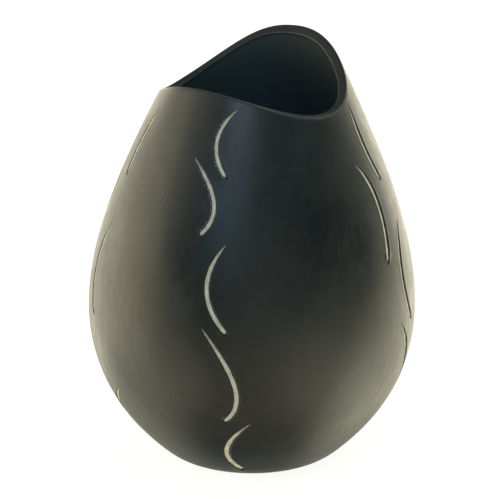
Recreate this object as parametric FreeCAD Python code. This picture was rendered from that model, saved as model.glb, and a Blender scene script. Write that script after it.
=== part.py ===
"""A black clay (barro negro) pot: an egg-shaped vessel with a leaning shoulder, a wave-cut mouth, and five
columns of short curved strokes, each one a shallow groove with pale slip packed into its floor.

Millimetres. +Z is up, the origin is the middle of the flat foot, and the low side of the mouth faces -Y.
An azimuth is in degrees round +Z, from 0 at the front (-Y) through 90 at the right (+X).
"""

import FreeCAD, Part
import math
import os

Vector = FreeCAD.Vector

# ---- driving dimensions -------------------------------------------------------------------------------------

# The outer wall's radius follows one Bezier curve. Its control radii are evenly spaced from the foot (height 0)
# to the height where the egg would close if the mouth were not cut.
EGG_HEIGHT = 240.0
EGG_RADII = (43.2, 102.3, 91.5, 73.0, 46.3, 21.4)

# Above this height the axis drifts towards +X.
LEAN_START = 60.0
LEAN_SQUARED = 1.80
LEAN_CUBED = -0.20
LEAN_UNIT = 100.0

# The inner edge of the mouth: a mean height, and waves that go one to four times round.
# Each wave is (number round, height, azimuth of a peak).
MOUTH_MEAN = 195.1
MOUTH_WAVES = ((1, 11.5, 150.0), (2, 7.9, 147.0), (3, 1.4, 88.0), (4, 1.1, 11.0))
# How far the outer edge of the lip stands above the inner edge.
LIP_RISE_MEAN = 2.9
LIP_RISE_WAVES = ((1, 0.8, 181.0), (2, 1.9, 126.0), (3, 0.4, 185.0))
LIP_ROUND = 0.42
INNER_EDGE_ROUND = 0.8

WALL_AT_LIP = 5.5
WALL_AT_FOOT = 7.5
FLOOR_TOP = 9.5
FLOOR_FLAT_RADIUS = 18.0

FOOT_FLAT_RADIUS = 40.0
FOOT_RING_INNER_RADIUS = 32.0
RECESS_DEPTH = 2.0
RECESS_RADIUS = 23.0
# The ring is shaped this much too deep, and then rubbed flat.
FOOT_RUB = 0.3

# How finely the wall is modelled: rows of control points round the pot and up each side.
ROUND_COUNT = 72
WALL_ROWS = 26

# A stroke's groove: its half width and depth at the middle, and the half width of its pale floor.
GROOVE_HALF_WIDTH = 2.2
GROOVE_DEPTH = 0.9
FLOOR_HALF_WIDTH = 1.35
# Strokes get finer towards the mouth, by this share over EGG_HEIGHT.
STROKE_THINNING = 0.38
STROKE_SECTIONS = 12
# The pale floor stops a little short of both ends of its groove, as shares of the stroke.
FLOOR_START = 0.02
FLOOR_END = 0.98

# Each column of strokes, top to bottom. A stroke is (top azimuth, top height, bottom azimuth, bottom height,
# bulge, hook). The bulge is how far the stroke bows out of its chord, towards higher azimuths when positive.
# The hook is where along the chord it bows most: 0.5 is even, and 1 is near the bottom.
COLUMNS = {
    "front": (
        (-11.1, 187.7, -13.0, 158.3, -7.4, 0.44),
        (-28.7, 165.0, -20.5, 132.1, 8.5, 0.72),
        (-10.4, 128.1, -8.5, 87.8, -8.8, 0.45),
        (-16.4, 88.9, -10.0, 40.7, 10.0, 0.80),
        (-0.9, 39.3, -5.4, 5.6, -8.7, 0.74),
    ),
    "right": (
        (63.7, 185.3, 68.6, 148.8, -3.0, 0.50),
        (51.3, 158.6, 56.7, 112.0, 7.2, 0.32),
        (72.7, 126.9, 72.2, 78.0, -9.5, 0.50),
        (61.8, 78.9, 73.6, 34.1, 5.5, 0.60),
        (81.2, 36.2, 78.2, 9.0, -7.0, 0.60),
    ),
    "back_right": (
        (137.0, 203.0, 139.0, 165.0, -5.0, 0.45),
        (124.0, 168.0, 131.0, 124.0, 8.0, 0.55),
        (140.0, 121.0, 139.0, 77.0, -9.0, 0.50),
        (130.0, 80.0, 137.0, 36.0, 8.5, 0.70),
        (146.0, 35.0, 141.0, 7.0, -7.5, 0.65),
    ),
    "back_left": (
        (210.0, 192.0, 209.0, 157.0, -6.0, 0.50),
        (197.0, 161.0, 204.0, 120.0, 8.0, 0.62),
        (214.0, 117.0, 212.0, 75.0, -9.5, 0.48),
        (203.0, 78.0, 211.0, 35.0, 9.0, 0.66),
        (221.0, 36.0, 214.0, 7.0, -8.0, 0.70),
    ),
    "left": (
        (291.3, 182.5, 287.1, 150.1, -2.2, 0.50),
        (267.5, 160.2, 269.3, 127.6, 6.0, 0.60),
        (290.8, 127.5, 288.4, 80.9, -5.5, 0.45),
        (273.3, 88.9, 277.0, 43.8, 6.5, 0.60),
        (301.4, 45.2, 288.9, 8.1, -6.5, 0.58),
    ),
}


# ---- the shape of the wall ----------------------------------------------------------------------------------

def egg_radius(height):
    """The outer wall's radius at a height."""
    share = height / EGG_HEIGHT
    degree = len(EGG_RADII) - 1
    total = 0.0
    for i, radius in enumerate(EGG_RADII):
        total += math.comb(degree, i) * share**i * (1.0 - share) ** (degree - i) * radius
    return total


def egg_slope(height):
    """How fast the radius grows with height."""
    step = 0.5
    return (egg_radius(height + step) - egg_radius(height - step)) / (2.0 * step)


def axis_offset(height):
    """How far the pot's axis has drifted towards +X at a height."""
    rise = max(0.0, height - LEAN_START) / LEAN_UNIT
    return LEAN_SQUARED * rise**2 + LEAN_CUBED * rise**3


def wave_sum(mean, waves, azimuth):
    """A mean value with its waves at an azimuth."""
    return mean + sum(
        size * math.cos(math.radians(count * (azimuth - peak))) for count, size, peak in waves
    )


def place(azimuth, radius, height):
    """The point at an azimuth, at a distance from the leaning axis."""
    angle = math.radians(azimuth)
    return Vector(axis_offset(height) + radius * math.sin(angle), -radius * math.cos(angle), height)


def along(start, end, distance):
    """The point that lies a distance from start towards end, both (radius, height)."""
    length = math.hypot(end[0] - start[0], end[1] - start[1])
    share = distance / length
    return (start[0] + share * (end[0] - start[0]), start[1] + share * (end[1] - start[1]))


def inner_point(height):
    """The inner wall's (radius, height) straight in from the outer wall at a height."""
    share = height / MOUTH_MEAN
    thickness = WALL_AT_FOOT + (WALL_AT_LIP - WALL_AT_FOOT) * share
    slope = egg_slope(height)
    length = math.hypot(1.0, slope)
    return (egg_radius(height) - thickness / length, height + thickness * slope / length)


def outline(azimuth):
    """The control points of the wall's cross-section: under the foot, up the outside, over the lip, down the
    inside and in to the flat of the floor."""
    points = [(RECESS_RADIUS, RECESS_DEPTH), (RECESS_RADIUS + 4.0, RECESS_DEPTH), (RECESS_RADIUS + 7.0, 1.5)]
    ring_step = (FOOT_FLAT_RADIUS - FOOT_RING_INNER_RADIUS) / 4.0
    points += [(FOOT_RING_INNER_RADIUS + i * ring_step, -FOOT_RUB) for i in range(5)]
    points.append((egg_radius(0.0) - 0.8, 0.5))

    edge_height = wave_sum(MOUTH_MEAN, MOUTH_WAVES, azimuth)
    crest_height = edge_height + wave_sum(LIP_RISE_MEAN, LIP_RISE_WAVES, azimuth)
    crest = (egg_radius(crest_height), crest_height)
    edge = (egg_radius(edge_height) - WALL_AT_LIP, edge_height)
    lip_width = math.hypot(crest[0] - edge[0], crest[1] - edge[1])
    rounding = LIP_ROUND * lip_width
    below_crest = (egg_radius(crest_height - 6.0), crest_height - 6.0)

    wall_top = crest_height - 2.6 * rounding
    first = 3.0
    for i in range(WALL_ROWS):
        height = first + (wall_top - first) * i / (WALL_ROWS - 1)
        points.append((egg_radius(height), height))
    points.append(along(crest, below_crest, 1.3 * rounding))
    points.append(along(crest, below_crest, 0.45 * rounding))
    points.append(along(crest, edge, 0.45 * rounding))
    points.append(along(crest, edge, 1.3 * rounding))

    below_edge = inner_point(edge_height - 8.0)
    points.append(along(edge, crest, INNER_EDGE_ROUND))
    points.append(edge)
    points.append(along(edge, below_edge, INNER_EDGE_ROUND))
    points.append(along(edge, below_edge, 3.0))
    inner_top = edge_height - 9.0
    inner_bottom = 6.0
    for i in range(WALL_ROWS):
        height = inner_top + (inner_bottom - inner_top) * i / (WALL_ROWS - 1)
        points.append(inner_point(height))
    points += [(40.0, FLOOR_TOP + 0.2), (34.0, FLOOR_TOP), (26.0, FLOOR_TOP), (FLOOR_FLAT_RADIUS, FLOOR_TOP)]
    return points


# ---- the vessel ---------------------------------------------------------------------------------------------

def wall_face():
    """One smooth face with the outline swept round the pot. Control points on a circle make a curve that lies
    a little inside them, so each radius is enlarged to suit."""
    step = 2.0 * math.pi / ROUND_COUNT
    enlarge = 3.0 / (2.0 + math.cos(step))
    rows = []
    for i in range(ROUND_COUNT):
        azimuth = 360.0 * i / ROUND_COUNT
        rows.append([place(azimuth, enlarge * radius, height) for radius, height in outline(azimuth)])
    count = len(rows[0])
    degree = 3
    inner_knots = count - degree - 1
    surface = Part.BSplineSurface()
    surface.buildFromPolesMultsKnots(
        rows,
        [1] * (ROUND_COUNT + 1),
        [degree + 1] + [1] * inner_knots + [degree + 1],
        [float(i) for i in range(ROUND_COUNT + 1)],
        [float(i) for i in range(inner_knots + 2)],
        True,
        False,
        degree,
        degree,
    )
    return surface.toShape()


def vessel():
    """The whole wall as a closed solid with a flat foot ring, before the strokes are cut."""
    wall = wall_face()
    rings = [edge for edge in wall.Edges if edge.isClosed() and edge.Length < 7.0 * RECESS_RADIUS]
    flats = [Part.Face(Part.Wire([edge])) for edge in rings]
    shell = Part.Shell([wall] + flats)
    shell.sewShape()
    solid = Part.Solid(shell)
    if solid.Volume < 0.0:
        solid.reverse()
    reach = 2.0 * FOOT_FLAT_RADIUS
    below = Part.makeBox(2.0 * reach, 2.0 * reach, reach, Vector(-reach, -reach, -reach))
    return solid.cut(below)


# ---- the strokes --------------------------------------------------------------------------------------------

def stroke_point(stroke, share):
    """A stroke's centre line on the outer wall, with share 0 at its top and 1 at its bottom."""
    top_azimuth, top, bottom_azimuth, bottom, bulge, hook = stroke
    millimetres = math.radians(1.0) * egg_radius((top + bottom) / 2.0)
    across = (bottom_azimuth - top_azimuth) * millimetres
    down = bottom - top
    length = math.hypot(across, down)
    bend_across = hook * across - 2.0 * bulge * down / length
    bend_down = hook * down + 2.0 * bulge * across / length
    bend_weight = 2.0 * share * (1.0 - share)
    azimuth = top_azimuth + (bend_weight * bend_across + share**2 * across) / millimetres
    height = top + bend_weight * bend_down + share**2 * down
    return azimuth, height


def wall_normal(azimuth, height):
    """The direction straight out of the outer wall."""
    angle = math.radians(azimuth)
    normal = Vector(math.sin(angle), -math.cos(angle), -egg_slope(height))
    return normal.normalize()


def taper(share):
    """A stroke starts as a fine point and ends in a short blunt round."""
    start = math.sqrt(min(1.0, (share + 0.02) / 0.30))
    end = math.sqrt(min(1.0, (1.03 - share) / 0.08))
    return start * end


def tube(stroke, radius, lift, first=0.0, last=1.0):
    """A tube along a stroke, between two shares of its length. Its centre line stands off the wall by the lift,
    and both the lift and the radius shrink with the taper."""
    sections = []
    for i in range(STROKE_SECTIONS):
        share = first + (last - first) * i / (STROKE_SECTIONS - 1)
        azimuth, height = stroke_point(stroke, share)
        ahead = place(*on_wall(stroke_point(stroke, share + 0.01)))
        behind = place(*on_wall(stroke_point(stroke, share - 0.01)))
        normal = wall_normal(azimuth, height)
        size = taper(share) * (1.0 - STROKE_THINNING * height / EGG_HEIGHT)
        circle = Part.Circle()
        circle.Center = place(*on_wall((azimuth, height))) + normal * (lift * size)
        circle.Axis = (ahead - behind).normalize()
        circle.XAxis = normal
        circle.Radius = radius * size
        sections.append(Part.Wire([circle.toShape()]))
    return Part.makeLoft(sections, True, False, False)


def on_wall(position):
    """(azimuth, radius, height) on the outer wall from (azimuth, height)."""
    azimuth, height = position
    return azimuth, egg_radius(height), height


def groove_cutter(stroke):
    """The round-bottomed tool that leaves the soft-shouldered groove."""
    radius = (GROOVE_HALF_WIDTH**2 + GROOVE_DEPTH**2) / (2.0 * GROOVE_DEPTH)
    return tube(stroke, radius, radius - GROOVE_DEPTH)


def slip_bead(stroke):
    """A bead centred on the groove's floor. Its lower half is the pale slip."""
    return tube(stroke, FLOOR_HALF_WIDTH, -GROOVE_DEPTH, FLOOR_START, FLOOR_END)


# ---- make and save ------------------------------------------------------------------------------------------

def main():
    os.makedirs("parts", exist_ok=True)
    pot = vessel()
    cutters = []
    for column, strokes in COLUMNS.items():
        for number, stroke in enumerate(strokes, start=1):
            groove = groove_cutter(stroke)
            inlay = slip_bead(stroke).cut(groove)
            cutters += [groove, inlay]
            inlay.Solids[0].exportStep(f"parts/slip_line_{column}_{number}.step")
    pot = max(pot.cut(cutters).Solids, key=lambda solid: solid.Volume)
    pot.exportStep("parts/clay_body.step")


main()
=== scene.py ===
"""How the black clay pot looks: a burnished vessel with pale slip in its carved strokes.

Metres, in the CAD frame. +Z is up, and the low side of the mouth faces -Y. An azimuth is in degrees round
+Z, from 0 at the front (-Y) through 90 at the right (+X). The wall and the places of the strokes repeat the
CAD model's driving dimensions, the grooves are cut a little finer, and every piece replaces the CAD node that
it stands for.
"""
import math

import bpy
import numpy as np
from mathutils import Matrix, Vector
from mathutils.geometry import delaunay_2d_cdt


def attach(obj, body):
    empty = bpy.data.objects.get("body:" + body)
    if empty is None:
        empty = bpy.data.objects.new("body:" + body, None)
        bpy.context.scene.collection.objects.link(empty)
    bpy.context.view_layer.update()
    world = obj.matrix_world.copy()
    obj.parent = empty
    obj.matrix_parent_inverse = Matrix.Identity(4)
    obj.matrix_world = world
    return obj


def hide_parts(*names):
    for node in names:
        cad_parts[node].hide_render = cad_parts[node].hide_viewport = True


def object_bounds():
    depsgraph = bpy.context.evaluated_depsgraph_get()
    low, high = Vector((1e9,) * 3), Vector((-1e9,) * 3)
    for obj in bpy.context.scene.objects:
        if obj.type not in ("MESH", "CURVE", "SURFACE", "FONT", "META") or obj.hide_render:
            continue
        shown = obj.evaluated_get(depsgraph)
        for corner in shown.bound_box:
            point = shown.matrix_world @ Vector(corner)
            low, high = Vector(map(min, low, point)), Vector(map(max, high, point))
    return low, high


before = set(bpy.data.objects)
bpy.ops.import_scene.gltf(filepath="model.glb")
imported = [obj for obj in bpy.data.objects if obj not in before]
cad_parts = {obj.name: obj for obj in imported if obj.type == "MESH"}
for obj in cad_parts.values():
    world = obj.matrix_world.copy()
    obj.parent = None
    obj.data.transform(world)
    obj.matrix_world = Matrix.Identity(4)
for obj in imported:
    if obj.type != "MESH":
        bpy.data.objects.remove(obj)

CAD_LOW, CAD_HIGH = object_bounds()
POT_HEIGHT = CAD_HIGH.z - CAD_LOW.z

# ---- the wall's driving dimensions, as in the CAD model -----------------------------------------------

MM = 0.001

# The outer wall's radius follows one Bezier curve, with its control radii evenly spaced over this height.
EGG_HEIGHT = 240.0 * MM
EGG_RADII = tuple(radius * MM for radius in (43.2, 102.3, 91.5, 73.0, 46.3, 21.4))

# Above this height the axis drifts towards +X.
LEAN_START = 60.0 * MM
LEAN_UNIT = 100.0 * MM
LEAN_SQUARED = 1.80 * MM
LEAN_CUBED = -0.20 * MM

# The inner edge of the mouth and the rise of the outer edge over it. A wave is (number round, size, peak).
# The outer edge is rounded by a share of the lip's width, and the inner edge by a length.
MOUTH_MEAN = 195.1 * MM
MOUTH_WAVES = ((1, 11.5 * MM, 150.0), (2, 7.9 * MM, 147.0), (3, 1.4 * MM, 88.0), (4, 1.1 * MM, 11.0))
LIP_RISE_MEAN = 2.9 * MM
LIP_RISE_WAVES = ((1, 0.8 * MM, 181.0), (2, 1.9 * MM, 126.0), (3, 0.4 * MM, 185.0))
LIP_ROUND = 0.42
INNER_EDGE_ROUND = 0.8 * MM

WALL_AT_LIP = 5.5 * MM
WALL_AT_FOOT = 7.5 * MM
FLOOR_TOP = 9.5 * MM
FLOOR_FLAT_RADIUS = 18.0 * MM

FOOT_FLAT_RADIUS = 40.0 * MM
FOOT_RING_INNER_RADIUS = 32.0 * MM
FOOT_RING_STEPS = 5
RECESS_DEPTH = 2.0 * MM
RECESS_RADIUS = 23.0 * MM
FOOT_RUB = 0.3 * MM

# The cross-section's control points. Outside the recess's flat its roof runs on, and then bends down. The
# foot's corner lies this far in from the wall and this high.
RECESS_ROOF = 4.0 * MM
RECESS_BEND = 7.0 * MM
FOOT_CORNER = (0.8 * MM, 0.5 * MM)
FOOT_POLES = 4 + FOOT_RING_STEPS
# The wall's even rows, and where they stop below the crest, in roundings of the crest.
WALL_ROWS = 26
WALL_FIRST_ROW = 3.0 * MM
WALL_STOP = 2.6
# The points on both sides of the crest, in roundings, and how far down the wall's direction is taken.
CREST_NEAR = 0.45
CREST_FAR = 1.3
OUTER_CHORD = 6.0 * MM
INNER_CHORD = 8.0 * MM
# The inside: the point below the inner edge, the first and last even row, and the points (radius, height over
# the floor) where the wall turns into the floor.
INNER_EDGE_BELOW = 3.0 * MM
INNER_FIRST_ROW = 9.0 * MM
INNER_LAST_ROW = 6.0 * MM
FLOOR_CORNER = ((40.0 * MM, 0.2 * MM), (34.0 * MM, 0.0), (26.0 * MM, 0.0))

# A stroke's groove and its slip at full size. The groove is a little narrower and shallower than the CAD
# model's, because its shoulders are soft.
GROOVE_HALF_WIDTH = 1.75 * MM
GROOVE_DEPTH = 0.75 * MM
SLIP_HALF_WIDTH = 1.35 * MM
# Strokes get finer towards the mouth, by this share over EGG_HEIGHT.
STROKE_THINNING = 0.38
# A stroke's fine point and blunt end, in shares of its length: how far the point reaches past the start and
# how long it is, and where the blunt end closes and how long it is.
POINT_REACH = 0.02
POINT_LENGTH = 0.30
BLUNT_END = 1.03
BLUNT_LENGTH = 0.08

# Each column of strokes, top to bottom. A stroke is (top azimuth, top height, bottom azimuth, bottom height,
# bulge, hook), with the heights and the bulge in millimetres. The bulge is how far it bows out of its chord,
# towards higher azimuths when positive. The hook is where along the chord its control point stands.
COLUMNS = {
    "front": (
        (-11.1, 187.7, -13.0, 158.3, -7.4, 0.44),
        (-28.7, 165.0, -20.5, 132.1, 8.5, 0.72),
        (-10.4, 128.1, -8.5, 87.8, -8.8, 0.45),
        (-16.4, 88.9, -10.0, 40.7, 10.0, 0.80),
        (-0.9, 39.3, -5.4, 5.6, -8.7, 0.74),
    ),
    "right": (
        (63.7, 185.3, 68.6, 148.8, -3.0, 0.50),
        (51.3, 158.6, 56.7, 112.0, 7.2, 0.32),
        (72.7, 126.9, 72.2, 78.0, -9.5, 0.50),
        (61.8, 78.9, 73.6, 34.1, 5.5, 0.60),
        (81.2, 36.2, 78.2, 9.0, -7.0, 0.60),
    ),
    "back_right": (
        (137.0, 203.0, 139.0, 165.0, -5.0, 0.45),
        (124.0, 168.0, 131.0, 124.0, 8.0, 0.55),
        (140.0, 121.0, 139.0, 77.0, -9.0, 0.50),
        (130.0, 80.0, 137.0, 36.0, 8.5, 0.70),
        (146.0, 35.0, 141.0, 7.0, -7.5, 0.65),
    ),
    "back_left": (
        (210.0, 192.0, 209.0, 157.0, -6.0, 0.50),
        (197.0, 161.0, 204.0, 120.0, 8.0, 0.62),
        (214.0, 117.0, 212.0, 75.0, -9.5, 0.48),
        (203.0, 78.0, 211.0, 35.0, 9.0, 0.66),
        (221.0, 36.0, 214.0, 7.0, -8.0, 0.70),
    ),
    "left": (
        (291.3, 182.5, 287.1, 150.1, -2.2, 0.50),
        (267.5, 160.2, 269.3, 127.6, 6.0, 0.60),
        (290.8, 127.5, 288.4, 80.9, -5.5, 0.45),
        (273.3, 88.9, 277.0, 43.8, 6.5, 0.60),
        (301.4, 45.2, 288.9, 8.1, -6.5, 0.58),
    ),
}

# ---- the fine shape that only this model has ----------------------------------------------------------

# How far the hand-shaped surface wanders in from the smooth wall, and the swells it is made of. Each swell is
# (strength, times round, turn for each metre of height, start).
UNEVENNESS = 0.30 * MM
SWELLS = (
    (1.0, 2.0, 38.0, 0.4),
    (0.8, 3.0, -61.0, 2.1),
    (0.6, 5.0, 83.0, 4.0),
    (0.35, 11.0, -47.0, 1.2),
    (0.25, 17.0, 120.0, 0.0),
)
# The ridges that fingers leave inside: how high, and how far apart.
FINGER_RIDGE = 0.22 * MM
FINGER_SPACING = 9.5 * MM
# The groove's shoulders are rubbed round: the softness of the bend, and the ridge of clay pushed up outside.
SHOULDER_SOFTNESS = 0.16 * MM
PUSHED_RIDGE = 0.09 * MM
PUSHED_RIDGE_PLACE = 2.25 * MM
PUSHED_RIDGE_WIDTH = 0.45 * MM
# Under the slip the clay is cut deeper, so the slip's underside is never level with it.
POCKET_HALF_WIDTH = 1.22 * MM
POCKET_DEPTH = 0.40 * MM
POCKET_SLOPE = 0.10 * MM
SLIP_CROWN = 0.10 * MM
SLIP_EDGE_DROP = 0.22 * MM
SLIP_UNDERSIDE = 0.34 * MM

# The slip lies a little to the groove's left, by this share of its half width. It runs between two shares of
# the stroke, and its ends are rounded. Its top is grainy.
SLIP_SHIFT = 0.18
SLIP_START = -0.01
SLIP_END = 1.0
SLIP_TOP_ROUND = 1.0 * MM
SLIP_END_ROUND = 0.9 * MM
SLIP_NARROWEST = 0.03
SLIP_GRAIN = 0.02 * MM
SLIP_TOP_LINES = 9
SLIP_UNDER_LINES = (0.8, 0.0, -0.8)
# Where the unburnished clay and the burr with its painted highlight end beside a full-sized stroke.
CARVED_EDGE = (1.55 * MM, 1.9 * MM)
BURR_HIGHLIGHT_OUTER_EDGE = (-2.5 * MM, -2.1 * MM)
BURR_HIGHLIGHT_INNER_EDGE = (-1.75 * MM, -1.5 * MM)
# How wide the painted highlights on the mouth's inner edge and outer crest are, in control points: pale
# colour standing in for light caught on the rounded edges.
# The second line is strongest at an azimuth, and it fades out between two cosines of the angle from there.
EDGE_HIGHLIGHT_WIDTH = 0.30
CREST_HIGHLIGHT_WIDTH = 0.25
CREST_HIGHLIGHT_AZIMUTH = -45.0
CREST_HIGHLIGHT_FADE = (0.35, 0.75)

# The mesh: columns round the pot and where they start, the step between the wall's rows, and how many rings
# make up the foot, the lip, the inside and each flat.
COLUMN_COUNT = 240
SEAM_AZIMUTH = 172.0
WALL_ROW_STEP = 0.30
FOOT_RINGS = 16
LIP_RINGS = 25
INSIDE_RINGS = 53
FLAT_RING_SHARES = (0.8, 0.6, 0.4, 0.2)
# Along a stroke, stations lie this far apart, and closer together for a stretch at both ends.
STATION_STEP = 0.85 * MM
END_STATION_STEP = 0.35 * MM
END_STRETCH = 3.5 * MM
# The fine patch round a stroke: its lines on each side, how far it reaches past the stroke's ends, the clear
# strip round it, and its shares of the full width at its ends, with the places where it has its full width.
PATCH_LINES = tuple(line * MM for line in (0.45, 0.85, 1.12, 1.22, 1.34, 1.52, 1.7, 1.9, 2.2, 2.7, 3.8))
PATCH_HALF_WIDTH = 3.8 * MM
PATCH_OVERRUN = 0.3 * MM
PATCH_MARGIN = 1.3 * MM
PATCH_TOP_SHARE = 0.3
PATCH_END_SHARE = 0.36
PATCH_WIDE_FROM = 0.45
PATCH_WIDE_TO = 0.78
# Near its ends a stroke counts as at least this large, in its groove and in its patch.
LEAST_GROOVE_SIZE = 0.05
LEAST_PATCH_SIZE = 0.22
# The wall laid out flat: lengths for a degree round it and for a place up it, and how near a patch is.
FLAT_DEGREE = 1.3
FLAT_PLACE = 8.0
FLAT_NEAR = 45.0

# ---- the studio ---------------------------------------------------------------------------------------

# The camera, with its distance and places as shares of the pot's height.
LENS = 134.1
SENSOR = 36.0
CAMERA_ELEVATION = 15.63
CAMERA_DISTANCE = 4.367
CAMERA_PIVOT = 0.533
CAMERA_AIM_HEIGHT = 0.4884
CAMERA_AIM_SIDE = -0.0058

# The floor's sides and reach, in pot heights, and its own glow.
FLOOR_SIDES = 96
FLOOR_REACH = 40.0
FLOOR_GLOW = 0.93
FLOOR_GLOW_TINT = (1.0, 0.99, 0.95, 1.0)
# The light that comes from everywhere.
AMBIENT = (0.095, 0.14, 0.145)
# Soft screens round the pot: (azimuth, elevation, where it ends, where it is full, strength, tint). The two
# reaches are in degrees from the screen's middle.
SCREENS = (
    (0.0, -45.0, 60.0, 10.0, 0.45, (1.0, 0.76, 0.50)),
    (55.0, -32.0, 38.0, 6.0, 1.15, (1.0, 0.95, 0.67)),
    (110.0, -33.0, 40.0, 8.0, 2.7, (1.0, 0.94, 0.67)),
    (-110.0, -33.0, 40.0, 8.0, 1.2, (1.0, 0.94, 0.68)),
    (-65.0, -30.0, 34.0, 6.0, 1.2, (1.0, 0.94, 0.68)),
    (180.0, -35.0, 45.0, 8.0, 0.4, (1.0, 0.90, 0.70)),
    (-98.0, 0.0, 34.0, 6.0, 2.7, (1.0, 0.89, 0.56)),
    (-145.0, 0.0, 38.0, 8.0, 2.3, (1.0, 0.92, 0.70)),
    (155.0, 0.0, 36.0, 6.0, 2.6, (1.0, 0.92, 0.70)),
    (10.0, 0.0, 45.0, 8.0, 0.25, (0.90, 1.0, 0.92)),
    (120.0, 42.0, 45.0, 10.0, 0.6, (1.0, 0.96, 0.75)),
    (85.0, 62.0, 36.0, 8.0, 0.75, (0.45, 0.75, 0.95)),
    (130.0, 24.0, 34.0, 12.0, 0.55, (1.0, 0.95, 0.75)),
    (-24.0, 33.0, 20.0, 4.0, 1.35, (0.40, 0.76, 1.1)),
    (-18.0, 50.0, 18.0, 4.0, 2.1, (0.85, 0.88, 1.0)),
    (-85.0, 32.0, 36.0, 6.0, 0.8, (1.0, 1.0, 0.90)),
)

# ---- colours and specks -------------------------------------------------------------------------------

CLAY_DARK = (0.0085, 0.0105, 0.0108)
CLAY_LIGHT = (0.0150, 0.0165, 0.0155)
# The inside is painted lighter on its left than on its right: painted light that evens out its shading.
INSIDE_LEFT_PAINTED_LIGHT = (0.095, 0.140, 0.150)
INSIDE_RIGHT = (0.029, 0.042, 0.047)
# Painted highlight: the pale colour of the thin lines on the mouth's inner edge and crest.
EDGE_HIGHLIGHT_PAINT = (0.165, 0.172, 0.150)
# Painted highlight: the pale blue colour of the burr beside the strokes, standing in for light it catches.
BURR_HIGHLIGHT_PAINT = (0.20, 0.25, 0.31)
DUST_COLOUR = (0.20, 0.21, 0.22)
SLIP_DARK = (0.50, 0.48, 0.38)
SLIP_LIGHT = (0.68, 0.66, 0.55)
SLIP_SCRATCH = (0.30, 0.29, 0.25)
SLIP_THIN = (0.16, 0.16, 0.14)
FLOOR_DARK = (0.24, 0.24, 0.23)
FLOOR_LIGHT = (0.28, 0.28, 0.27)
# Specks: cells to the metre, the largest dot as a share of a cell, and the share of cells that have one.
PITS = (150.0, 0.07, 0.22)
DUST = (210.0, 0.05, 0.10)
# The burr's bump and its painted highlight fade in above the belly.
BURR_HIGHLIGHT_HEIGHTS = (0.120, 0.140)


# ---- the wall's surface -------------------------------------------------------------------------------

def egg_radius(height):
    """The outer wall's radius at a height."""
    share = height / EGG_HEIGHT
    degree = len(EGG_RADII) - 1
    return sum(
        math.comb(degree, i) * share**i * (1.0 - share) ** (degree - i) * radius
        for i, radius in enumerate(EGG_RADII)
    )


def egg_slope(height):
    """How fast the radius grows with height."""
    step = 0.5 * MM
    return (egg_radius(height + step) - egg_radius(height - step)) / (2.0 * step)


def axis_offset(height):
    """How far the pot's axis has drifted towards +X at a height."""
    rise = np.maximum(0.0, height - LEAN_START) / LEAN_UNIT
    return LEAN_SQUARED * rise**2 + LEAN_CUBED * rise**3


def wave_sum(mean, waves, azimuth):
    """A mean value with its waves at an azimuth."""
    return mean + sum(size * np.cos(np.radians(count * (azimuth - peak))) for count, size, peak in waves)


def in_space(azimuth, radius, height):
    """Points at azimuths and at distances from the leaning axis."""
    angle = np.radians(azimuth)
    across = axis_offset(height) + radius * np.sin(angle)
    return np.stack([across, -radius * np.cos(angle), height], axis=-1)


def along(start, end, distance):
    """The point that lies a distance from start towards end, both (radius, height)."""
    share = distance / np.hypot(end[0] - start[0], end[1] - start[1])
    return (start[0] + share * (end[0] - start[0]), start[1] + share * (end[1] - start[1]))


def inner_point(height):
    """The inner wall's (radius, height) straight in from the outer wall at a height."""
    thickness = WALL_AT_FOOT + (WALL_AT_LIP - WALL_AT_FOOT) * height / MOUTH_MEAN
    slope = egg_slope(height)
    length = np.hypot(1.0, slope)
    return (egg_radius(height) - thickness / length, height + thickness * slope / length)


def lip_points(azimuth):
    """The lip's outer crest and inner edge, as (radius, height), and the rounding of its outer corner."""
    edge_height = wave_sum(MOUTH_MEAN, MOUTH_WAVES, azimuth)
    crest_height = edge_height + wave_sum(LIP_RISE_MEAN, LIP_RISE_WAVES, azimuth)
    crest = (egg_radius(crest_height), crest_height)
    edge = (egg_radius(edge_height) - WALL_AT_LIP, edge_height)
    rounding = LIP_ROUND * np.hypot(crest[0] - edge[0], crest[1] - edge[1])
    return crest, edge, rounding


def wall_top(azimuth):
    """The height where the outer wall's rows end and the lip begins."""
    crest, _, rounding = lip_points(azimuth)
    return crest[1] - WALL_STOP * rounding


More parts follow.
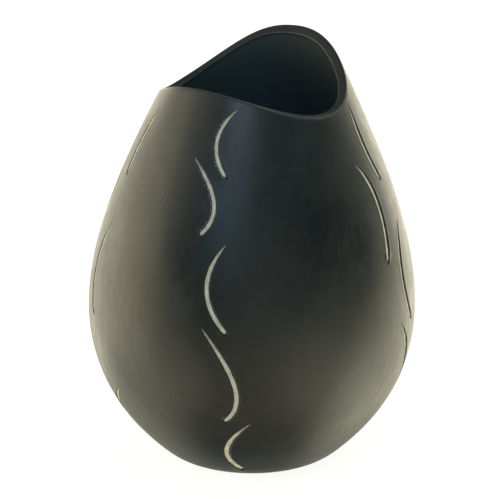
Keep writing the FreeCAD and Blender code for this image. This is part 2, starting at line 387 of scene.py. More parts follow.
def wall_poles(azimuth):
    """The control points (radius, height) of the wall's cross-section at each azimuth: under the foot, up
    the outside, over the lip, down the inside and in to the flat of the floor."""
    points = [(RECESS_RADIUS, RECESS_DEPTH), (RECESS_RADIUS + RECESS_ROOF, RECESS_DEPTH)]
    points.append((RECESS_RADIUS + RECESS_BEND, 0.75 * RECESS_DEPTH))
    ring = np.linspace(FOOT_RING_INNER_RADIUS, FOOT_FLAT_RADIUS, FOOT_RING_STEPS)
    points += [(radius, -FOOT_RUB) for radius in ring]
    points.append((egg_radius(0.0) - FOOT_CORNER[0], FOOT_CORNER[1]))

    crest, edge, rounding = lip_points(azimuth)
    top = wall_top(azimuth)
    for share in np.linspace(0.0, 1.0, WALL_ROWS):
        height = WALL_FIRST_ROW + (top - WALL_FIRST_ROW) * share
        points.append((egg_radius(height), height))
    below_crest = (egg_radius(crest[1] - OUTER_CHORD), crest[1] - OUTER_CHORD)
    points.append(along(crest, below_crest, CREST_FAR * rounding))
    points.append(along(crest, below_crest, CREST_NEAR * rounding))
    points.append(along(crest, edge, CREST_NEAR * rounding))
    points.append(along(crest, edge, CREST_FAR * rounding))

    below_edge = inner_point(edge[1] - INNER_CHORD)
    points.append(along(edge, crest, INNER_EDGE_ROUND))
    points.append(edge)
    points.append(along(edge, below_edge, INNER_EDGE_ROUND))
    points.append(along(edge, below_edge, INNER_EDGE_BELOW))
    inner_top = edge[1] - INNER_FIRST_ROW
    for share in np.linspace(0.0, 1.0, WALL_ROWS):
        points.append(inner_point(inner_top + (INNER_LAST_ROW - inner_top) * share))
    points += [(radius, FLOOR_TOP + rise) for radius, rise in FLOOR_CORNER]
    points.append((FLOOR_FLAT_RADIUS, FLOOR_TOP))

    # A point that is the same all round becomes one at each azimuth.
    pairs = [np.broadcast_arrays(radius, height, azimuth)[:2] for radius, height in points]
    return np.stack([np.stack(pair, axis=-1) for pair in pairs], axis=1)


# Places along the cross-section, counted in control points: the wall's first row, where its mesh starts, its
# last row, where the lip's own rings begin, the crest, the inner edge, where the inside's rings begin and the
# floor's end. The lip's top is shaded in and out over two short stretches.
FIRST_ROW = FOOT_POLES - 1.0
WALL_START = FIRST_ROW - 1.0
WALL_END = FIRST_ROW + WALL_ROWS - 1.0
LIP_START = WALL_END + 2.4
CREST = WALL_END + 2.6
INNER_EDGE = WALL_END + 6.0
INNER_START = INNER_EDGE + 2.0
SECTION_END = WALL_END + 9.0 + WALL_ROWS - 1.0 + 3.0
LIP_TOP_START = (WALL_END + 2.0, WALL_END + 3.0)
LIP_TOP_END = (WALL_END + 5.0, WALL_END + 5.8)


def spline_weights(place, count):
    """The first of the four control points that matter at each place on a clamped cubic, and the weights of
    all four."""
    knots = np.concatenate([np.zeros(3), np.arange(count - 2.0), np.full(3, count - 3.0)])
    first = np.clip(np.floor(place).astype(int), 0, count - 4)
    weights = np.zeros((len(place), 4))
    weights[:, 0] = 1.0
    for degree in range(1, 4):
        saved = np.zeros(len(place))
        for i in range(degree):
            ahead = knots[first + 4 + i] - place
            behind = place - knots[first + 4 + i - degree]
            part = weights[:, i] / (ahead + behind)
            weights[:, i] = saved + ahead * part
            saved = behind * part
        weights[:, degree] = saved
    return first, weights


def wall_section(azimuth, place):
    """(radius, height) on the wall at each azimuth and place along the cross-section."""
    poles = wall_poles(azimuth)
    first, weights = spline_weights(place, poles.shape[1])
    picked = np.take_along_axis(poles, (first[:, None] + np.arange(4))[:, :, None], axis=1)
    radius, height = (picked * weights[:, :, None]).sum(axis=1).T
    return radius, np.maximum(height, 0.0)


def wall_frame(azimuth, place):
    """Points on the wall and the directions straight out of the clay there."""
    turn = 0.1
    shift = 0.02
    near = np.clip(place, shift, SECTION_END - shift)
    right = in_space(azimuth + turn, *wall_section(azimuth + turn, near))
    left = in_space(azimuth - turn, *wall_section(azimuth - turn, near))
    after = in_space(azimuth, *wall_section(azimuth, near + shift))
    before = in_space(azimuth, *wall_section(azimuth, near - shift))
    normal = np.cross(right - left, after - before)
    normal /= np.linalg.norm(normal, axis=1, keepdims=True)
    return in_space(azimuth, *wall_section(azimuth, place)), normal


def place_at_height(azimuth, height):
    """The place up the outer wall that lies at each height."""
    row_height = (wall_top(azimuth) - WALL_FIRST_ROW) / (WALL_ROWS - 1.0)
    place = FIRST_ROW + (height - WALL_FIRST_ROW) / row_height
    for _ in range(6):
        place = np.clip(place, WALL_START, LIP_START)
        place = place + (height - wall_section(azimuth, place)[1]) / row_height
    return np.clip(place, WALL_START, LIP_START)


# ---- the hand-made surface ----------------------------------------------------------------------------

def smooth_step(start, end, value):
    """0 before start, 1 after end, and a smooth rise between."""
    share = np.clip((value - start) / (end - start), 0.0, 1.0)
    return share * share * (3.0 - 2.0 * share)


def hand_unevenness(azimuth, height):
    """How far the surface wanders in from the smooth wall: long shallow swells left by shaping and rubbing,
    which fade out at the foot."""
    angle = np.radians(azimuth)
    total = sum(strength * np.sin(count * angle + turn * height + start)
                for strength, count, turn, start in SWELLS)
    foot_fade = smooth_step(1.0 * MM, 12.0 * MM, height)
    return -UNEVENNESS * (0.5 + total / 6.0) * foot_fade


def finger_ridges(azimuth, height):
    """The soft rings that fingers leave inside, a little uneven all round."""
    angle = np.radians(azimuth)
    drift = 0.9 * np.sin(angle + 0.6) + 0.5 * np.sin(3.0 * angle)
    wave = np.sin(2.0 * math.pi * height / FINGER_SPACING + drift)
    strength = 0.6 + 0.4 * np.sin(2.0 * angle + 25.0 * height)
    return FINGER_RIDGE * wave * strength


# ---- the strokes --------------------------------------------------------------------------------------

def stroke_point(stroke, share):
    """A stroke's centre line as (azimuth, height), with share 0 at its top and 1 at its bottom."""
    top_azimuth, top, bottom_azimuth, bottom, bulge, hook = stroke
    top, bottom, bulge = top * MM, bottom * MM, bulge * MM
    metres = math.radians(1.0) * egg_radius((top + bottom) / 2.0)
    across = (bottom_azimuth - top_azimuth) * metres
    down = bottom - top
    length = math.hypot(across, down)
    bend_across = hook * across - 2.0 * bulge * down / length
    bend_down = hook * down + 2.0 * bulge * across / length
    bend_weight = 2.0 * share * (1.0 - share)
    azimuth = top_azimuth + (bend_weight * bend_across + share**2 * across) / metres
    height = top + bend_weight * bend_down + share**2 * down
    return azimuth, height


def stroke_size(share, height):
    """A stroke's size beside a full one: a fine point at the top, a short blunt round at the bottom."""
    start = np.sqrt(np.clip((share + POINT_REACH) / POINT_LENGTH, 0.0, 1.0))
    end = np.sqrt(np.clip((BLUNT_END - share) / BLUNT_LENGTH, 0.0, 1.0))
    return start * end * (1.0 - STROKE_THINNING * height / EGG_HEIGHT)


def stroke_length(stroke):
    """A stroke's length on the wall."""
    azimuth, height = stroke_point(stroke, np.linspace(0.0, 1.0, 60))
    return np.linalg.norm(np.diff(in_space(azimuth, egg_radius(height), height), axis=0), axis=1).sum()


def stations(stroke, first, last):
    """Shares along a stroke, evenly spaced, and closer together near both ends."""
    length = stroke_length(stroke)
    near_end = END_STRETCH / length
    close = END_STATION_STEP / length
    count = 1 + round((last - first) * length / STATION_STEP)
    middle = np.linspace(first + near_end, last - near_end, count)
    start = np.arange(first, first + near_end - 0.5 * close, close)
    end = np.arange(last, last - near_end + 0.5 * close, -close)[::-1]
    return np.concatenate([start, middle, end])


def beside_stroke(stroke, share, offset):
    """(azimuth, height) on the wall, an offset to the right of a stroke for someone who faces it."""
    azimuth, height = stroke_point(stroke, share)
    after_azimuth, after_height = stroke_point(stroke, share + 0.01)
    before_azimuth, before_height = stroke_point(stroke, share - 0.01)
    per_degree = math.radians(1.0) * egg_radius(height)
    per_height = np.hypot(1.0, egg_slope(height))
    across = (after_azimuth - before_azimuth) * per_degree
    down = (after_height - before_height) * per_height
    length = np.hypot(across, down)
    return azimuth - offset * down / length / per_degree, height + offset * across / length / per_height


def groove_floor(offset, size):
    """How deep the round-bottomed groove is, an offset from its middle, before its shoulders are rubbed."""
    size = np.maximum(size, LEAST_GROOVE_SIZE)
    radius = (GROOVE_HALF_WIDTH**2 + GROOVE_DEPTH**2) / (2.0 * GROOVE_DEPTH)
    scaled = np.minimum(np.abs(offset / size), radius)
    return np.sqrt(radius**2 - scaled**2) - (radius - GROOVE_DEPTH)


def groove_surface(offset, size, reach):
    """How far in the clay lies beside a stroke: the groove with soft shoulders, the ridge pushed up outside
    them, and the pocket under the slip. The reach is 0 in the middle and 1 at the patch's edge."""
    bare = groove_floor(offset, size)
    soft = 0.5 * (bare + np.sqrt(bare**2 + SHOULDER_SOFTNESS**2))
    fade = (1.0 - smooth_step(0.76, 1.0, reach)) * smooth_step(0.0, 0.12, size)
    scaled = np.abs(offset) / np.maximum(size, LEAST_GROOVE_SIZE)
    ridge = PUSHED_RIDGE * np.exp(-(((scaled - PUSHED_RIDGE_PLACE) / PUSHED_RIDGE_WIDTH) ** 2))
    pocket = POCKET_DEPTH * (1.0 - smooth_step(POCKET_HALF_WIDTH - POCKET_SLOPE, POCKET_HALF_WIDTH, scaled))
    pocket = pocket * smooth_step(0.15, 0.35, size)
    return size * (soft - ridge + pocket) * fade


def stroke_marks(offset, size):
    """Where the clay is carved and no longer burnished, and where the tool threw up a burr on the left, which
    also carries a painted highlight.
    """
    scaled = offset / np.maximum(size, LEAST_PATCH_SIZE)
    carved = 1.0 - smooth_step(*CARVED_EDGE, np.abs(scaled))
    burr_and_highlight = smooth_step(*BURR_HIGHLIGHT_OUTER_EDGE, scaled) - smooth_step(*BURR_HIGHLIGHT_INNER_EDGE, scaled)
    return np.stack([carved, burr_and_highlight], axis=-1) * smooth_step(0.05, 0.3, size)[..., None]


# ---- meshes -------------------------------------------------------------------------------------------

def new_piece(name, points, faces, material, node, marks=None):
    """A smooth-shaded mesh piece that rides on the pot's body and replaces one CAD node."""
    mesh = bpy.data.meshes.new(name)
    mesh.from_pydata(points.tolist(), [], faces)
    mesh.validate()
    mesh.polygons.foreach_set("use_smooth", [True] * len(mesh.polygons))
    for mark, values in (marks or {}).items():
        attribute = mesh.attributes.new(mark, "FLOAT", "POINT")
        attribute.data.foreach_set("value", np.asarray(values, dtype=np.float32))
    mesh.materials.append(material)
    mesh.update()
    piece = bpy.data.objects.new(name, mesh)
    bpy.context.scene.collection.objects.link(piece)
    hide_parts(node)
    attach(piece, "root")
    return piece


def from_seam(azimuth):
    """The same azimuth, counted on from the seam."""
    return SEAM_AZIMUTH + (azimuth - SEAM_AZIMUTH) % 360.0


def patch_grid(stroke):
    """The fine grid round one stroke: azimuth, height, offset, size and reach, each stations by lines."""
    length = stroke_length(stroke)
    first = -POINT_REACH - PATCH_OVERRUN / length
    last = BLUNT_END + PATCH_OVERRUN / length
    share = stations(stroke, first, last)
    lines = np.array(PATCH_LINES)
    offset = np.concatenate([-lines[::-1], [0.0], lines])
    share, offset = np.meshgrid(share, offset, indexing="ij")
    _, height = stroke_point(stroke, share)
    size = stroke_size(share, height)
    # Inside the groove the lines draw together with its size. The patch is narrower at its ends.
    reach = np.abs(offset) / PATCH_HALF_WIDTH
    width = PATCH_TOP_SHARE + (1.0 - PATCH_TOP_SHARE) * smooth_step(first, PATCH_WIDE_FROM, share)
    width = width - (1.0 - PATCH_END_SHARE) * smooth_step(PATCH_WIDE_TO, last, share)
    offset = offset * (reach**2 * width + (1.0 - reach**2) * np.maximum(size, LEAST_PATCH_SIZE))
    azimuth, height = beside_stroke(stroke, share, offset)
    return from_seam(azimuth), height, offset, size, reach


def flat_map(azimuth, place):
    """The outer wall laid out flat, near enough in millimetres, for joining its points into triangles."""
    return np.stack([FLAT_DEGREE * (azimuth - SEAM_AZIMUTH), FLAT_PLACE * (place - WALL_START)], axis=-1)


def inside_loop(points, loop):
    """Whether each flat point lies inside a closed flat loop."""
    inside = np.zeros(len(points), dtype=bool)
    x, y = points[:, 0], points[:, 1]
    for (x0, y0), (x1, y1) in zip(loop, np.roll(loop, -1, axis=0)):
        crosses = (y0 > y) != (y1 > y)
        if crosses.any():
            inside[crosses] ^= x[crosses] < x0 + (y[crosses] - y0) * (x1 - x0) / (y1 - y0)
    return inside


def outer_wall():
    """The outer wall from the foot to the lip: an even grid with a fine patch set in round every stroke.
    Returns each point's azimuth, place, move out and marks, the faces, and the rings at its two ends."""
    rows = np.linspace(WALL_START, LIP_START, 1 + round((LIP_START - WALL_START) / WALL_ROW_STEP))
    columns = SEAM_AZIMUTH + np.linspace(0.0, 360.0, COLUMN_COUNT + 1)
    grid_azimuth, grid_place = (values.ravel() for values in np.meshgrid(columns, rows))
    grid_height = wall_section(grid_azimuth, grid_place)[1]
    keep = np.ones(len(grid_azimuth), dtype=bool)

    azimuths, places, moves, marks, patches, loops = [], [], [], [], [], []
    total = 0
    for strokes in COLUMNS.values():
        for stroke in strokes:
            azimuth, height, offset, size, reach = patch_grid(stroke)
            place = place_at_height(azimuth.ravel(), height.ravel()).reshape(azimuth.shape)
            middle = azimuth.shape[1] // 2
            half_widths = np.abs(offset[:, 0])
            for mid_azimuth, mid_height, width in zip(azimuth[:, middle], height[:, middle], half_widths):
                across = (grid_azimuth - mid_azimuth) * math.radians(1.0) * egg_radius(mid_height)
                keep &= np.hypot(across, grid_height - mid_height) > width + PATCH_MARGIN
            index = total + np.arange(azimuth.size).reshape(azimuth.shape)
            total += azimuth.size
            loop = np.concatenate([index[:-1, 0], index[-1, :-1], index[:0:-1, -1], index[0, :0:-1]])
            loops.append(loop)
            patches.append(index)
            azimuths.append(azimuth.ravel())
            places.append(place.ravel())
            moves.append(-groove_surface(offset, size, reach).ravel())
            marks.append(stroke_marks(offset, size).reshape(-1, 2))
    keep |= (grid_place == rows[0]) | (grid_place == rows[-1])
    grid_count = int(keep.sum())
    azimuth = np.concatenate(azimuths + [grid_azimuth[keep]])
    place = np.concatenate(places + [grid_place[keep]])
    move = np.concatenate(moves + [np.zeros(grid_count)])
    mark = np.concatenate(marks + [np.zeros((grid_count, 2))])

    flat = flat_map(azimuth, place)
    used = np.concatenate(loops + [np.arange(total, total + grid_count)])
    number = {int(old): new for new, old in enumerate(used)}
    edges = [
        (number[int(a)], number[int(b)]) for loop in loops for a, b in zip(loop, np.roll(loop, -1))
    ]
    found = delaunay_2d_cdt([Vector(point) for point in flat[used]], edges, [], 0, 1e-7)
    back = np.array([used[sources[0]] for sources in found[3]])
    triangles = back[np.array(found[2])]
    first_side = flat[triangles[:, 1]] - flat[triangles[:, 0]]
    second_side = flat[triangles[:, 2]] - flat[triangles[:, 0]]
    clockwise = first_side[:, 0] * second_side[:, 1] < first_side[:, 1] * second_side[:, 0]
    triangles[clockwise] = triangles[clockwise, ::-1]
    centres = flat[triangles].mean(axis=1)
    outside = np.ones(len(triangles), dtype=bool)
    for loop in loops:
        near = np.abs(centres - flat[loop].mean(axis=0)).max(axis=1) < FLAT_NEAR
        outside[near] &= ~inside_loop(centres[near], flat[loop])
    faces = triangles[outside].tolist()
    for index in patches:
        quads = np.stack([index[:-1, :-1], index[1:, :-1], index[1:, 1:], index[:-1, 1:]], axis=-1)
        faces += quads.reshape(-1, 4).tolist()

    # The grid's last column lies on its first, so the two are joined.
    weld = np.arange(len(azimuth))
    on_grid = weld >= total
    weld[on_grid & (azimuth == columns[-1])] = weld[on_grid & (azimuth == columns[0])]
    faces = [[int(weld[i]) for i in face] for face in faces]
    foot_ring = total + np.arange(COLUMN_COUNT)
    lip_ring = len(azimuth) - COLUMN_COUNT - 1 + np.arange(COLUMN_COUNT)
    return azimuth, place, move, mark, faces, foot_ring, lip_ring


def ring_faces(rings):
    """Faces between each ring of point numbers and the next."""
    faces = []
    for lower, upper in zip(rings[:-1], rings[1:]):
        faces += np.stack([lower, np.roll(lower, -1), np.roll(upper, -1), upper], axis=-1).tolist()
    return faces


def painted_edge_highlight(azimuth, place):
    """The thin painted highlight round the mouth, pale colour standing in for light on the rounded edge: on
    the inner edge, and at the front left on the crest too.
    """
    inner = np.exp(-(((place - INNER_EDGE) / EDGE_HIGHLIGHT_WIDTH) ** 2))
    crest = np.exp(-(((place - CREST) / CREST_HIGHLIGHT_WIDTH) ** 2))
    front_left = smooth_step(*CREST_HIGHLIGHT_FADE, np.cos(np.radians(azimuth - CREST_HIGHLIGHT_AZIMUTH)))
    return np.maximum(inner, crest * front_left)


def clay_body(material):
    """The whole vessel as one closed skin: recess, foot, grooved outer wall, lip, inside and floor."""
    azimuth, place, move, mark, faces, foot_ring, lip_ring = outer_wall()
    around = SEAM_AZIMUTH + np.linspace(0.0, 360.0, COLUMN_COUNT, endpoint=False)
    foot_places = np.linspace(0.0, WALL_START, FOOT_RINGS + 1)[:-1]
    lip_places = np.linspace(LIP_START, INNER_START, LIP_RINGS + 1)[1:]
    inside_places = np.linspace(INNER_START, SECTION_END, INSIDE_RINGS + 1)[1:]
    ring_places = np.concatenate([foot_places, lip_places, inside_places])
    first_new = len(azimuth)
    rings = [first_new + i * COLUMN_COUNT + np.arange(COLUMN_COUNT) for i in range(len(ring_places))]
    faces += ring_faces(rings[:FOOT_RINGS] + [foot_ring])
    faces += ring_faces([lip_ring] + rings[FOOT_RINGS:])

    ring_azimuth = np.tile(around, len(ring_places))
    azimuth = np.concatenate([azimuth, ring_azimuth])
    place = np.concatenate([place, np.repeat(ring_places, COLUMN_COUNT)])
    move = np.concatenate([move, np.zeros(len(ring_azimuth))])
    mark = np.concatenate([mark, np.zeros((len(ring_azimuth), 2))])

    points, normals = wall_frame(azimuth, place)
    height = points[:, 2]
    inside = smooth_step(INNER_START, INNER_START + 1.5, place)
    move = move + hand_unevenness(azimuth, height) + inside * finger_ridges(azimuth, height)
    points = points + normals * move[:, None]

    # The two flats, each closed by rings that shrink to a point.
    for ring, flips in ((rings[0], True), (rings[-1], False)):
        centre = points[ring].mean(axis=0)
        flat_rings = [ring]
        for share in FLAT_RING_SHARES:
            flat_rings.append(len(points) + np.arange(COLUMN_COUNT))
            points = np.concatenate([points, centre + share * (points[ring] - centre)])
        last = flat_rings[-1]
        tip = len(points)
        points = np.concatenate([points, centre[None, :]])
        flat_faces = ring_faces(flat_rings)
        flat_faces += [[int(a), int(b), tip] for a, b in zip(last, np.roll(last, -1))]
        faces += [face[::-1] for face in flat_faces] if flips else flat_faces
    extra = len(points) - len(mark)
    mark = np.concatenate([mark, np.zeros((extra, 2))])
    place = np.concatenate([place, np.full(extra, SECTION_END)])
    azimuth = np.concatenate([azimuth, np.full(extra, SEAM_AZIMUTH)])

    used = np.unique(np.concatenate([np.asarray(face) for face in faces]))
    number = np.zeros(len(points), dtype=int)
    number[used] = np.arange(len(used))
    faces = [[int(i) for i in number[face]] for face in faces]
    marks = {
        "carved": mark[used, 0],
        "burr_and_highlight": mark[used, 1],
        "painted_edge_highlight": painted_edge_highlight(azimuth[used], place[used]),
        "inside": smooth_step(INNER_EDGE, INNER_START, place[used]),
        "lip_top": smooth_step(*LIP_TOP_START, place[used]) - smooth_step(*LIP_TOP_END, place[used]),
    }
    return new_piece("clay_body_finish", points[used], faces, material, "clay_body", marks)


def slip_line(name, stroke, phase, material):
    """The pale slip in one stroke: a crowned strip with a wandering edge, sunk into the groove's floor."""
    length = stroke_length(stroke)
    shares = stations(stroke, SLIP_START, SLIP_END)
    lines = np.concatenate([np.linspace(-1.0, 1.0, SLIP_TOP_LINES), SLIP_UNDER_LINES])
    under = np.arange(len(lines)) >= SLIP_TOP_LINES
    share, line = np.meshgrid(shares, lines, indexing="ij")
    _, height = stroke_point(stroke, share)
    size = stroke_size(share, height)
    from_top = (share - SLIP_START) * length
    from_bottom = (SLIP_END - share) * length
    top_closing = np.clip(from_top / SLIP_TOP_ROUND, SLIP_NARROWEST, 1.0)
    closing = np.sqrt(top_closing * np.clip(from_bottom / SLIP_END_ROUND, SLIP_NARROWEST, 1.0))
    run = from_top / MM
    wander = 0.05 * np.sin(0.9 * run + phase) + 0.04 * np.sin(2.3 * run + 2.0 * phase)
    wander = wander + 0.03 * np.sign(line) * np.sin(3.7 * run + 3.0 * phase)
    offset = (line * (1.0 + wander) - SLIP_SHIFT) * SLIP_HALF_WIDTH * size * closing
    azimuth, height = beside_stroke(stroke, share, offset)
    place = place_at_height(azimuth.ravel(), height.ravel())
    points, normals = wall_frame(azimuth.ravel(), place)
    grain = SLIP_GRAIN * np.sin(5.1 * run + 9.0 * line + phase) * np.sin(2.9 * run - 6.0 * line)
    top = SLIP_CROWN * (1.0 - line**2) - SLIP_EDGE_DROP * np.abs(line) ** 6 + grain
    out = np.where(under[None, :], -SLIP_UNDERSIDE, top) - groove_floor(offset, size)
    move = (out * size).ravel() + hand_unevenness(azimuth.ravel(), height.ravel())
    points = points + normals * move[:, None]

    index = np.arange(share.size).reshape(share.shape)
    after = np.roll(index, -1, axis=1)
    sides = np.stack([index[:-1], index[1:], after[1:], after[:-1]], axis=-1)
    faces = sides.reshape(-1, 4).tolist() + [index[0].tolist(), index[-1, ::-1].tolist()]
    thin = 1.0 - smooth_step(0.0, 0.22, share) * smooth_step(0.0, 1.0 * MM, from_bottom)
    marks = {"thin": thin.ravel(), "across": line.ravel()}
    return new_piece(name + "_finish", points, faces, material, name, marks)


# ---- materials ----------------------------------------------------------------------------------------

def add_node(tree, kind, inputs=None, **settings):
    """A node with its settings, and its inputs set to values or linked to sockets."""
    made = tree.nodes.new(kind)
    for setting, value in settings.items():
        setattr(made, setting, value)
    for socket, value in (inputs or {}).items():
        if isinstance(value, bpy.types.NodeSocket):
            tree.links.new(value, made.inputs[socket])
        else:
            made.inputs[socket].default_value = value
    return made


def maths(tree, operation, first, second):
    """The result of one maths node."""
    return add_node(tree, "ShaderNodeMath", {0: first, 1: second}, operation=operation).outputs[0]


def weighted_sum(tree, *terms):
    """The sum of values, each given with its weight."""
    total = 0.0
    for value, weight in terms:
        total = maths(tree, "ADD", total, maths(tree, "MULTIPLY", value, weight))
    return total


def spread(tree, value, from_low, from_high, to_low=0.0, to_high=1.0):
    """A value moved from one range to another, smoothly and within its ends."""
    inputs = {"Value": value, "From Min": from_low, "From Max": from_high}
    inputs |= {"To Min": to_low, "To Max": to_high}
    return add_node(tree, "ShaderNodeMapRange", inputs, interpolation_type="SMOOTHSTEP").outputs[0]


def blend_colour(tree, share, first, second):
    """A colour between two, by a share."""
    made = add_node(tree, "ShaderNodeMix", {"Factor": share}, data_type="RGBA")
    for socket, value in ((made.inputs[6], first), (made.inputs[7], second)):
        if isinstance(value, bpy.types.NodeSocket):
            tree.links.new(value, socket)
        else:
            socket.default_value = (*value, 1.0)
    return made.outputs[2]


def noise(tree, coordinates, scale, detail=2.0, roughness=0.5):
    """Soft noise of so many grains to the metre."""
    inputs = {"Vector": coordinates, "Scale": scale, "Detail": detail, "Roughness": roughness}
    return add_node(tree, "ShaderNodeTexNoise", inputs).outputs[0]


def mark_value(tree, name):
    """A value that the mesh carries."""
    return add_node(tree, "ShaderNodeAttribute", attribute_name=name).outputs["Fac"]


def new_material(name):
    """An empty Principled material, with its tree, shader and object coordinates."""
    material = bpy.data.materials.new(name)
    material.use_nodes = True
    tree = material.node_tree
    shader = tree.nodes["Principled BSDF"]
    coordinates = add_node(tree, "ShaderNodeTexCoord").outputs["Object"]
    return material, tree, shader, coordinates


def specks(tree, coordinates, per_metre, size, share):
    """Small round specks: a share of the cells of a Voronoi pattern, each with a dot of its own size."""
    cells = add_node(tree, "ShaderNodeTexVoronoi", {"Vector": coordinates, "Scale": per_metre})
    chosen = add_node(tree, "ShaderNodeSeparateColor", {"Color": cells.outputs["Color"]})
    wide = maths(tree, "MULTIPLY", chosen.outputs["Green"], size)
    near = maths(tree, "LESS_THAN", cells.outputs["Distance"], wide)
    kept = maths(tree, "LESS_THAN", chosen.outputs["Red"], share)
    return maths(tree, "MULTIPLY", near, kept)


def black_clay():
    """Burnished black clay: near black, satin, with rubbing streaks, fine grain, pits and pale dust."""
    material, tree, shader, coordinates = new_material("burnished_black_clay")
    streak_map = add_node(tree, "ShaderNodeMapping", {"Vector": coordinates, "Scale": (1.0, 1.0, 0.10)})
    streaks = noise(tree, streak_map.outputs[0], 420.0, 3.0, 0.6)
    clouds = noise(tree, coordinates, 26.0, 3.0, 0.55)
    grain = noise(tree, coordinates, 1300.0, 2.0, 0.6)
    mottle = noise(tree, coordinates, 170.0, 3.0, 0.6)
    pits = specks(tree, coordinates, *PITS)
    dust = specks(tree, coordinates, *DUST)
    place = add_node(tree, "ShaderNodeSeparateXYZ", {0: coordinates}).outputs

    tone = weighted_sum(tree, (clouds, 0.6), (mottle, 0.4))
    colour = blend_colour(tree, spread(tree, tone, 0.35, 0.65), CLAY_DARK, CLAY_LIGHT)
    inside = mark_value(tree, "inside")
    # Painted light: the inside's colour goes lighter towards its left (-X).
    inside_painted_light = blend_colour(tree, spread(tree, place["X"], -0.03, 0.04), INSIDE_LEFT_PAINTED_LIGHT, INSIDE_RIGHT)
    colour = blend_colour(tree, inside, colour, inside_painted_light)
    # Painted highlight on the mouth's inner edge and front-left crest, broken up by the grain.
    lip_highlight = maths(tree, "MULTIPLY", mark_value(tree, "painted_edge_highlight"), spread(tree, grain, 0.25, 0.6))
    colour = blend_colour(tree, lip_highlight, colour, EDGE_HIGHLIGHT_PAINT)
    # The burr is a real bump, and its pale blue colour is a painted highlight, above the belly only.
    broken = spread(tree, noise(tree, coordinates, 1200.0), 0.50, 0.64)
    burr_and_highlight = maths(tree, "MULTIPLY", mark_value(tree, "burr_and_highlight"), broken)
    burr_and_highlight = maths(tree, "MULTIPLY", burr_and_highlight, spread(tree, place["Z"], *BURR_HIGHLIGHT_HEIGHTS))
    colour = blend_colour(tree, burr_and_highlight, colour, BURR_HIGHLIGHT_PAINT)
    colour = blend_colour(tree, dust, colour, DUST_COLOUR)
    tree.links.new(colour, shader.inputs["Base Color"])

    rubbed = spread(tree, streaks, 0.3, 0.7, -0.035, 0.035)
    satin = spread(tree, clouds, 0.35, 0.65, 0.30, 0.40)
    carved = mark_value(tree, "carved")
    lip_top = mark_value(tree, "lip_top")
    rough = maths(tree, "ADD", satin, rubbed)
    duller = weighted_sum(tree, (inside, 0.30), (carved, 0.40), (lip_top, 0.35), (pits, 0.25))
    tree.links.new(maths(tree, "ADD", rough, duller), shader.inputs["Roughness"])
    shader.inputs["IOR"].default_value = 1.48

    relief = weighted_sum(tree, (grain, 0.25), (streaks, 0.6), (mottle, 0.8), (pits, -1.6), (burr_and_highlight, 1.0))
    bump = add_node(tree, "ShaderNodeBump", {"Height": relief, "Strength": 0.6, "Distance": 0.05 * MM})
    tree.links.new(bump.outputs[0], shader.inputs["Normal"])
    return material


def pale_slip():
    """Matte pale slip: chalky cream with fine scratches, grey where it thins out at the ends and edges."""
    material, tree, shader, coordinates = new_material("matte_pale_slip")
    grain = noise(tree, coordinates, 1500.0, 3.0, 0.65)
    patches = noise(tree, coordinates, 240.0, 3.0, 0.6)
    scratch_map = add_node(tree, "ShaderNodeMapping", {"Vector": coordinates, "Scale": (1.0, 1.0, 0.12)})
    scratches = noise(tree, scratch_map.outputs[0], 1700.0, 2.0, 0.7)
    colour = blend_colour(tree, spread(tree, patches, 0.3, 0.7), SLIP_DARK, SLIP_LIGHT)
    colour = blend_colour(tree, spread(tree, scratches, 0.56, 0.70, 0.0, 0.5), colour, SLIP_SCRATCH)
    edge = spread(tree, maths(tree, "ABSOLUTE", mark_value(tree, "across"), 0.0), 0.62, 0.95, 0.0, 0.7)
    thin = maths(tree, "MAXIMUM", mark_value(tree, "thin"), edge)
    thin = maths(tree, "MULTIPLY", thin, spread(tree, grain, 0.30, 0.65, 0.35, 1.0))
    colour = blend_colour(tree, thin, colour, SLIP_THIN)
    tree.links.new(colour, shader.inputs["Base Color"])
    rough = spread(tree, grain, 0.3, 0.7, 0.80, 0.95)
    tree.links.new(rough, shader.inputs["Roughness"])
    shader.inputs["Specular IOR Level"].default_value = 0.3
    relief = weighted_sum(tree, (grain, 0.6), (scratches, 0.8))
    bump = add_node(tree, "ShaderNodeBump", {"Height": relief, "Strength": 0.7, "Distance": 0.08 * MM})
    tree.links.new(bump.outputs[0], shader.inputs["Normal"])
    return material


# ---- the studio ---------------------------------------------------------------------------------------

def pale_floor():
    """A plain pale floor, wide enough for every view."""
    reach = FLOOR_REACH * POT_HEIGHT
    angles = [2.0 * math.pi * i / FLOOR_SIDES for i in range(FLOOR_SIDES)]
    points = [(reach * math.cos(angle), reach * math.sin(angle), CAD_LOW.z) for angle in angles]
    mesh = bpy.data.meshes.new("floor")
    mesh.from_pydata(points, [], [list(range(FLOOR_SIDES))])
    floor = bpy.data.objects.new("floor", mesh)
    bpy.context.scene.collection.objects.link(floor)
    material, tree, shader, coordinates = new_material("pale_floor")
    shade = spread(tree, noise(tree, coordinates, 6.0), 0.3, 0.7)
    tree.links.new(blend_colour(tree, shade, FLOOR_DARK, FLOOR_LIGHT), shader.inputs["Base Color"])
    shader.inputs["Roughness"].default_value = 0.9
    shader.inputs["Emission Color"].default_value = FLOOR_GLOW_TINT
    shader.inputs["Emission Strength"].default_value = FLOOR_GLOW
    mesh.materials.append(material)
    # The screens light the pot from below too, so the floor is only there to be looked at.
    floor.visible_diffuse = False
    floor.visible_glossy = False
    floor.visible_shadow = False


def toward(azimuth, elevation):
    """The direction that lies at an azimuth and an elevation, seen from the pot."""
    turn, rise = math.radians(azimuth), math.radians(elevation)
    return (math.sin(turn) * math.cos(rise), -math.cos(turn) * math.cos(rise), math.sin(rise))


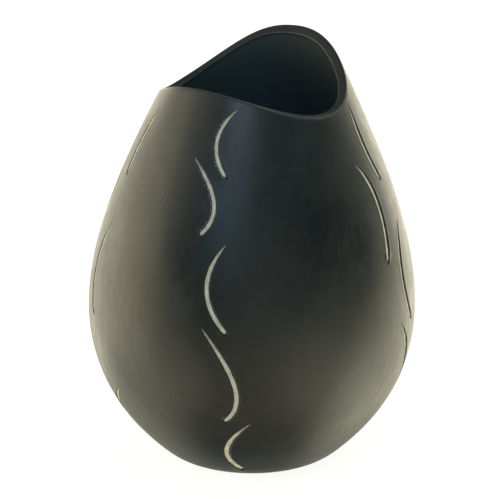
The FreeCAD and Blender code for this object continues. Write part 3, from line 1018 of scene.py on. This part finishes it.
def studio_light():
    """A soft studio as one sky: a dark front, and broad pale screens. Seen straight on it is plain white."""
    world = bpy.data.worlds.new("studio")
    bpy.context.scene.world = world
    world.use_nodes = True
    tree = world.node_tree
    background = tree.nodes["Background"]
    direction = add_node(tree, "ShaderNodeTexCoord").outputs["Generated"]
    dark = (0.0, 0.0, 0.0)
    total = blend_colour(tree, 0.0, AMBIENT, dark)
    for azimuth, elevation, outer, inner, strength, tint in SCREENS:
        pair = {0: direction, 1: toward(azimuth, elevation)}
        aim = add_node(tree, "ShaderNodeVectorMath", pair, operation="DOT_PRODUCT").outputs["Value"]
        share = spread(tree, aim, math.cos(math.radians(outer)), math.cos(math.radians(inner)))
        light = blend_colour(tree, share, dark, tuple(strength * part for part in tint))
        pair = {0: total, 1: light}
        total = add_node(tree, "ShaderNodeVectorMath", pair, operation="ADD").outputs[0]
    seen = add_node(tree, "ShaderNodeLightPath").outputs["Is Camera Ray"]
    total = blend_colour(tree, seen, total, (1.0, 1.0, 1.0))
    tree.links.new(total, background.inputs["Color"])


def camera():
    """A long lens, a little above the pot, facing the mouth's low side."""
    scene = bpy.context.scene
    data = bpy.data.cameras.new("camera")
    data.lens = LENS
    data.sensor_width = SENSOR
    seen_from = bpy.data.objects.new("camera", data)
    scene.collection.objects.link(seen_from)
    rise = math.radians(CAMERA_ELEVATION)
    distance = CAMERA_DISTANCE * POT_HEIGHT
    middle = Vector((0.0, 0.0, CAMERA_PIVOT * POT_HEIGHT))
    seen_from.location = middle + Vector((0.0, -distance * math.cos(rise), distance * math.sin(rise)))
    aim = Vector((CAMERA_AIM_SIDE * POT_HEIGHT, 0.0, CAMERA_AIM_HEIGHT * POT_HEIGHT))
    seen_from.rotation_euler = (aim - seen_from.location).to_track_quat("-Z", "Y").to_euler()
    data.clip_end = 100.0 * POT_HEIGHT
    scene.camera = seen_from
    scene.view_settings.view_transform = "Standard"


# ---- make it ------------------------------------------------------------------------------------------

def main():
    camera()
    studio_light()
    pale_floor()
    clay = black_clay()
    slip = pale_slip()
    clay_body(clay)
    for column, strokes in COLUMNS.items():
        for number, stroke in enumerate(strokes, start=1):
            # Each stroke's edge wanders in its own way.
            phase = 1.7 * number + 0.9 * len(column)
            slip_line(f"slip_line_{column}_{number}", stroke, phase, slip)


main()
